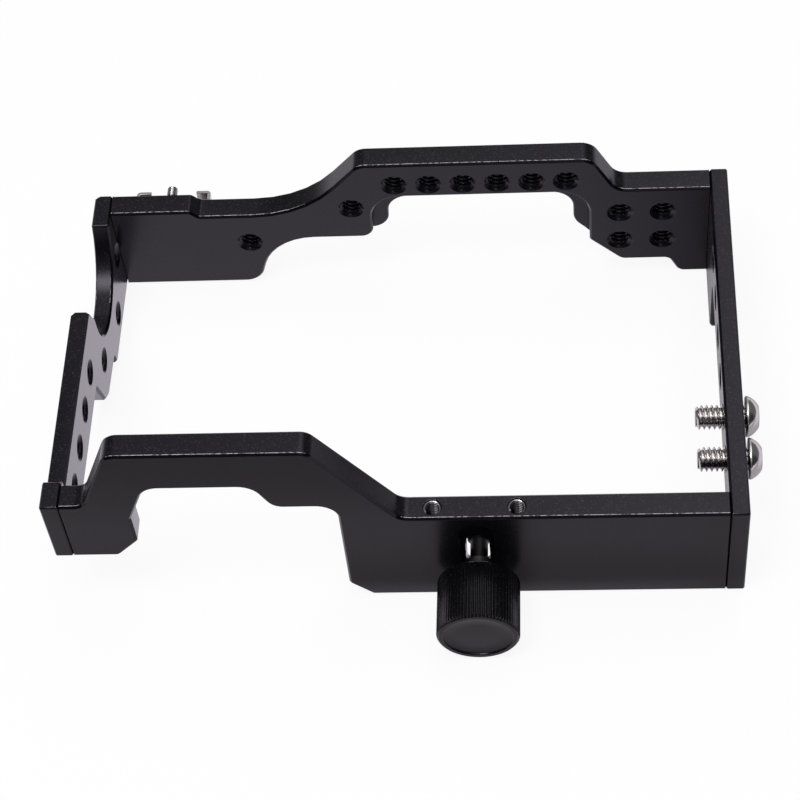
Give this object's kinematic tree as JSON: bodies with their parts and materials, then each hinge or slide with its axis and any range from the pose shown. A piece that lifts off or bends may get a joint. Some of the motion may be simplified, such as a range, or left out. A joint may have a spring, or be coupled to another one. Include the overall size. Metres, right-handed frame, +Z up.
{
  "type": "camera cage",
  "caption": "Open frame of four black milled plates that surrounds a camera, with a knurled captive camera screw, a cold shoe and tapped holes.",
  "frame": {"origin": "middle of the object's footprint on the table it lies on", "axes": "+X from the grip side (left plate) to the side with the two grip screws, +Y from the bottom plate to the top plate, +Z up from the table, along the lens axis"},
  "size_m": [0.176, 0.1334, 0.0634],
  "materials": {
    "anodised": "bead-blasted and black anodised",
    "black_steel": "black oxide",
    "stainless": "bright stainless steel",
    "zinc_steel": "plain steel",
    "black_nylon": "matte"
  },
  "bodies": {
    "frame": {"bottom_plate": "anodised", "top_plate": "anodised", "left_plate": "anodised", "right_plate": "anodised", "screw_bottom_left_lower": "black_steel", "screw_bottom_left_upper": "black_steel", "screw_bottom_right_lower": "black_steel", "screw_bottom_right_upper": "black_steel", "screw_top_left_lower": "black_steel", "screw_top_left_upper": "black_steel", "screw_top_right_lower": "black_steel", "screw_top_right_upper": "black_steel", "insert_left": "stainless", "insert_right": "stainless", "cold_shoe": "stainless", "shoe_screws": "stainless", "shoe_stop_screw": "stainless"},
    "slot_slider": {"slot_washer": "zinc_steel"},
    "thrust": {"knob_washer": "black_nylon"},
    "camera_screw": {"camera_screw": "black_steel", "knob": "anodised"},
    "grip_screw_near": {"grip_screw_near": "stainless"},
    "grip_screw_far": {"grip_screw_far": "stainless"}
  },
  "joints": [
    {"name": "slot_slide", "type": "slide", "parent": "frame", "child": "slot_slider", "axis": [0, 0, 1], "range_m": [0, 0.01025]},
    {"name": "screw_push", "type": "slide", "parent": "slot_slider", "child": "thrust", "axis": [0, 1, 0], "range_m": [-0.0013, 0.0018]},
    {"name": "knob_turn", "type": "hinge", "parent": "thrust", "child": "camera_screw", "pos_m": [0.01758, -0.0525, 0.01035], "axis": [0, 1, 0], "continuous": true},
    {"name": "grip_screw_near_travel", "type": "slide", "parent": "frame", "child": "grip_screw_near", "axis": [1, 0, 0], "range_m": [-0.0006, 0.0115]},
    {"name": "grip_screw_far_travel", "type": "slide", "parent": "frame", "child": "grip_screw_far", "axis": [1, 0, 0], "range_m": [-0.0006, 0.0115]}
  ]
}
